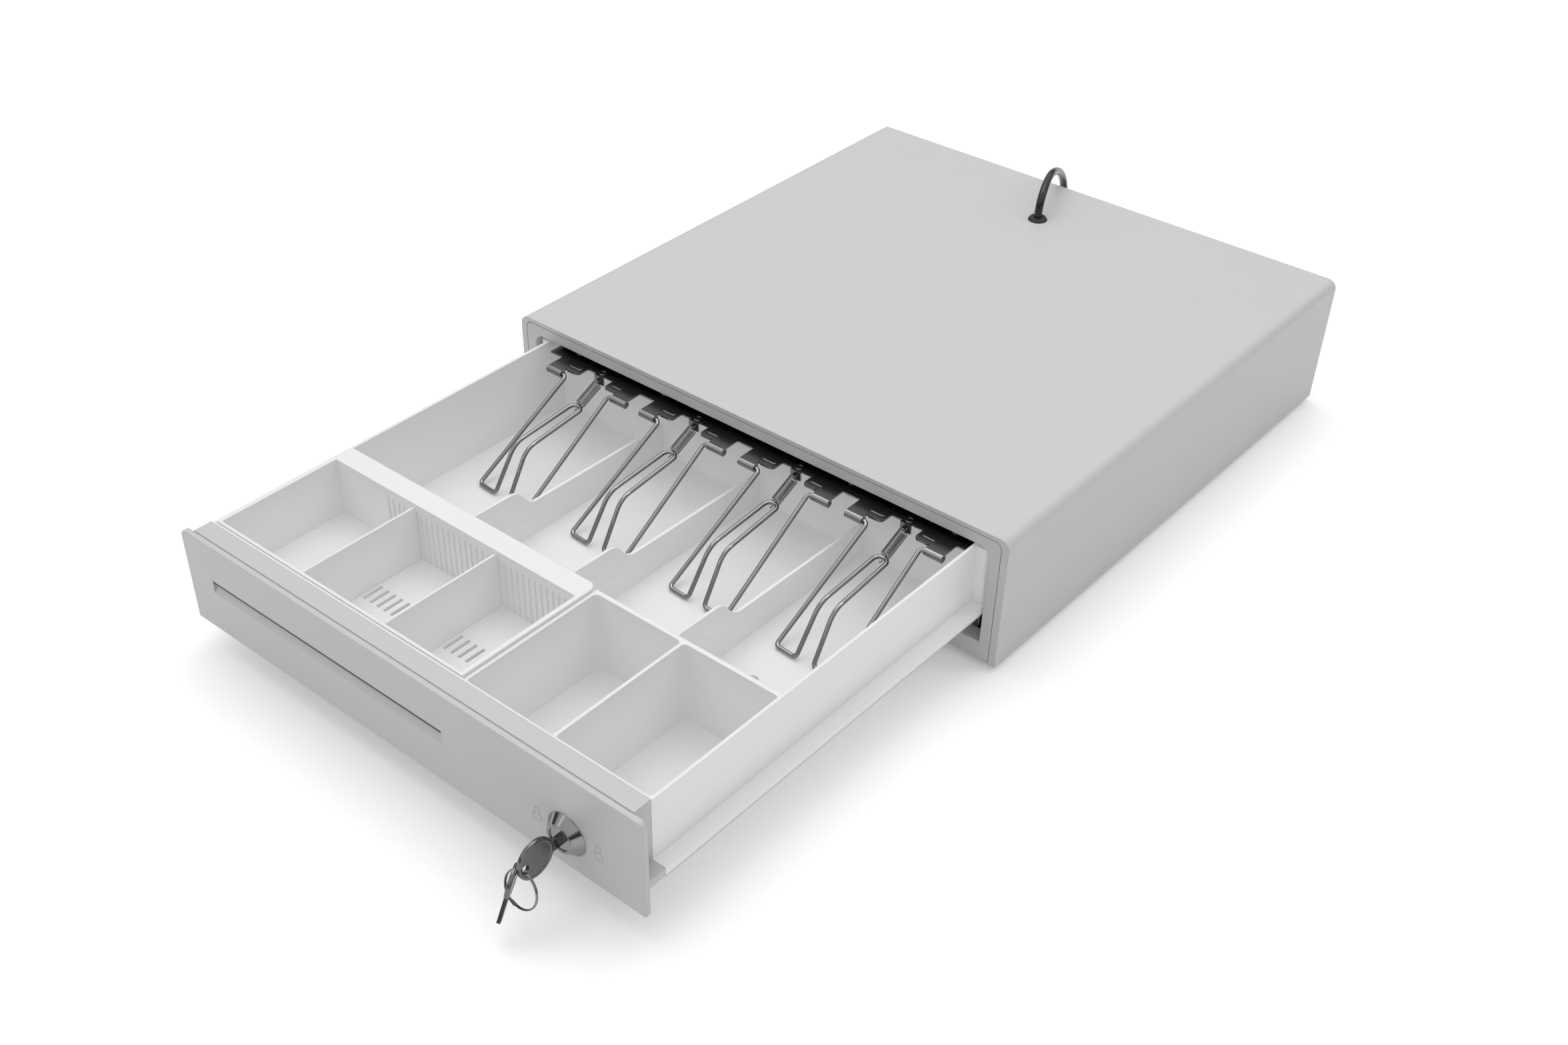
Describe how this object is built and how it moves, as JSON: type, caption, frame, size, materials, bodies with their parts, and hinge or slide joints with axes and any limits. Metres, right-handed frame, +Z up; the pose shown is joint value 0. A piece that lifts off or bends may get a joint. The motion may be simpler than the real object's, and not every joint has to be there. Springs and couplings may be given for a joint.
{
  "type": "cash drawer",
  "caption": "Counter-top steel cash drawer, open, with a moulded tray of coin and note compartments, wire note clips, a key lock with its keys and a cable out of the top.",
  "frame": {"origin": "on the counter, under the middle of the casing's front edge", "axes": "+X to the right, -Y towards the user (the drawer opens towards -Y), +Z up; at rest the drawer is open against its stop"},
  "size_m": [0.41, 0.8742, 0.127],
  "materials": {
    "painted_steel": "fine powder coat",
    "white_plastic": "moulded satin",
    "grey_plastic": "moulded satin, light grey",
    "black_rubber": "soft",
    "cable_jacket": "glossy PVC",
    "clear_plastic": "clear",
    "zinc_steel": "zinc plated",
    "spring_steel": "bright",
    "chrome": "polished",
    "nickel_brass": "worn nickel plate",
    "coil_winding": "taped winding",
    "black_plastic": "moulded",
    "nylon": "moulded nylon"
  },
  "bodies": {
    "casing": {"housing_shell": "painted_steel", "front_bezel": "painted_steel", "base_plate": "painted_steel", "rear_panel": "painted_steel", "rubber_feet": "black_rubber", "foot_screws": "zinc_steel", "rear_screws": "zinc_steel", "cable_grommet": "black_rubber", "cable_tube": "cable_jacket", "cable_coil": "cable_jacket", "cable_plug": "clear_plastic", "fixed_rail_left": "zinc_steel", "fixed_rail_right": "zinc_steel", "roller_bracket_left": "zinc_steel", "roller_bracket_right": "zinc_steel", "front_roller_pin_left": "zinc_steel", "front_roller_pin_right": "zinc_steel", "latch_bracket": "zinc_steel", "latch_pin": "zinc_steel", "solenoid_frame": "zinc_steel", "solenoid_coil": "coil_winding", "plunger_spring": "spring_steel", "ejector_bracket": "zinc_steel", "ejector_spring": "spring_steel", "drawer_switch": "black_plastic"},
    "drawer": {"drawer_front": "grey_plastic", "drawer_tray": "white_plastic", "drawer_rail_left": "painted_steel", "drawer_rail_right": "painted_steel", "rear_roller_pin_left": "zinc_steel", "rear_roller_pin_right": "zinc_steel", "clip_strip": "spring_steel", "clip_screws": "zinc_steel", "clip_spring_1": "spring_steel", "clip_spring_2": "spring_steel", "clip_spring_3": "spring_steel", "clip_spring_4": "spring_steel", "lock_body": "chrome", "lock_nut": "zinc_steel", "latch_staple": "zinc_steel"},
    "front_roller_left": {"front_roller_left": "nylon"},
    "front_roller_right": {"front_roller_right": "nylon"},
    "rear_roller_left": {"rear_roller_left": "nylon"},
    "rear_roller_right": {"rear_roller_right": "nylon"},
    "coin_insert": {"coin_insert": "white_plastic"},
    "coin_divider_1": {"coin_divider_1": "white_plastic"},
    "coin_divider_2": {"coin_divider_2": "white_plastic"},
    "bill_clip_1": {"bill_clip_1": "chrome"},
    "bill_clip_2": {"bill_clip_2": "chrome"},
    "bill_clip_3": {"bill_clip_3": "chrome"},
    "bill_clip_4": {"bill_clip_4": "chrome"},
    "key": {"key": "nickel_brass"},
    "key_ring": {"key_ring": "spring_steel"},
    "spare_key": {"spare_key": "nickel_brass"},
    "latch_hook": {"latch_hook": "zinc_steel"},
    "solenoid_plunger": {"solenoid_plunger": "zinc_steel"},
    "switch_lever": {"switch_lever": "spring_steel"},
    "lock_core": {"lock_core": "chrome", "lock_cam": "zinc_steel"}
  },
  "joints": [
    {"name": "drawer_slide", "type": "slide", "parent": "casing", "child": "drawer", "axis": [0, -1, 0], "range_m": [-0.302, 0], "deforming": ["ejector_spring"]},
    {"name": "front_roller_left_spin", "type": "hinge", "parent": "casing", "child": "front_roller_left", "pos_m": [-0.1863, 0.022, 0.0307], "axis": [1, 0, 0], "range_deg": [-2900, 20]},
    {"name": "rear_roller_left_spin", "type": "hinge", "parent": "drawer", "child": "rear_roller_left", "pos_m": [-0.1972, 0.06, 0.029], "axis": [1, 0, 0], "range_deg": [-2700, 20]},
    {"name": "front_roller_right_spin", "type": "hinge", "parent": "casing", "child": "front_roller_right", "pos_m": [0.1863, 0.022, 0.0307], "axis": [1, 0, 0], "range_deg": [-2900, 20]},
    {"name": "rear_roller_right_spin", "type": "hinge", "parent": "drawer", "child": "rear_roller_right", "pos_m": [0.1972, 0.06, 0.029], "axis": [1, 0, 0], "range_deg": [-2700, 20]},
    {"name": "bill_clip_1_lift", "type": "hinge", "parent": "drawer", "child": "bill_clip_1", "pos_m": [-0.1277, -0.0145, 0.079], "axis": [-1, 0, 0], "range_deg": [0, 70], "deforming": ["clip_spring_1"]},
    {"name": "bill_clip_2_lift", "type": "hinge", "parent": "drawer", "child": "bill_clip_2", "pos_m": [-0.0409, -0.0145, 0.079], "axis": [-1, 0, 0], "range_deg": [0, 70], "deforming": ["clip_spring_2"]},
    {"name": "bill_clip_3_lift", "type": "hinge", "parent": "drawer", "child": "bill_clip_3", "pos_m": [0.0459, -0.0145, 0.079], "axis": [-1, 0, 0], "range_deg": [0, 70], "deforming": ["clip_spring_3"]},
    {"name": "bill_clip_4_lift", "type": "hinge", "parent": "drawer", "child": "bill_clip_4", "pos_m": [0.1327, -0.0145, 0.079], "axis": [-1, 0, 0], "range_deg": [0, 70], "deforming": ["clip_spring_4"]},
    {"name": "coin_insert_lift", "type": "slide", "parent": "drawer", "child": "coin_insert", "axis": [0, 0, 1], "range_m": [0, 0.06]},
    {"name": "coin_divider_1_lift", "type": "slide", "parent": "coin_insert", "child": "coin_divider_1", "axis": [0, 0, 1], "range_m": [0, 0.045]},
    {"name": "coin_divider_2_lift", "type": "slide", "parent": "coin_insert", "child": "coin_divider_2", "axis": [0, 0, 1], "range_m": [0, 0.045]},
    {"name": "lock_turn", "type": "hinge", "parent": "drawer", "child": "lock_core", "pos_m": [0.135, -0.302, 0.0445], "axis": [0, -1, 0], "range_deg": [0, 90]},
    {"name": "key_withdraw", "type": "slide", "parent": "lock_core", "child": "key", "axis": [0, -1, 0], "range_m": [0, 0.022]},
    {"name": "key_ring_swing", "type": "hinge", "parent": "key", "child": "key_ring", "pos_m": [0.135, -0.334, 0.0412], "axis": [1, 0, 0], "range_deg": [-8, 10]},
    {"name": "spare_key_swing", "type": "hinge", "parent": "key_ring", "child": "spare_key", "pos_m": [0.1293, -0.3347, 0.0393], "axis": [0.8454, 0.4792, -0.2361], "range_deg": [-5, 0]},
    {"name": "latch_hook_turn", "type": "hinge", "parent": "casing", "child": "latch_hook", "pos_m": [0, 0.352, 0.022], "axis": [-1, 0, 0], "range_deg": [0, 22]},
    {"name": "plunger_travel", "type": "slide", "parent": "casing", "child": "solenoid_plunger", "axis": [0, 0, -1], "range_m": [0, 0.0074], "deforming": ["plunger_spring"]},
    {"name": "switch_lever_press", "type": "hinge", "parent": "casing", "child": "switch_lever", "pos_m": [-0.065, 0.364, 0.0262], "axis": [1, 0, 0], "range_deg": [0, 4]}
  ],
  "couplings": [
    {"joint": "front_roller_left_spin", "follows": "drawer_slide", "rad_per_m": 166.67},
    {"joint": "rear_roller_left_spin", "follows": "drawer_slide", "rad_per_m": 153.85},
    {"joint": "front_roller_right_spin", "follows": "drawer_slide", "rad_per_m": 166.67},
    {"joint": "rear_roller_right_spin", "follows": "drawer_slide", "rad_per_m": 153.85},
    {"joint": "plunger_travel", "follows": "latch_hook_turn", "m_per_rad": 0.018934}
  ]
}
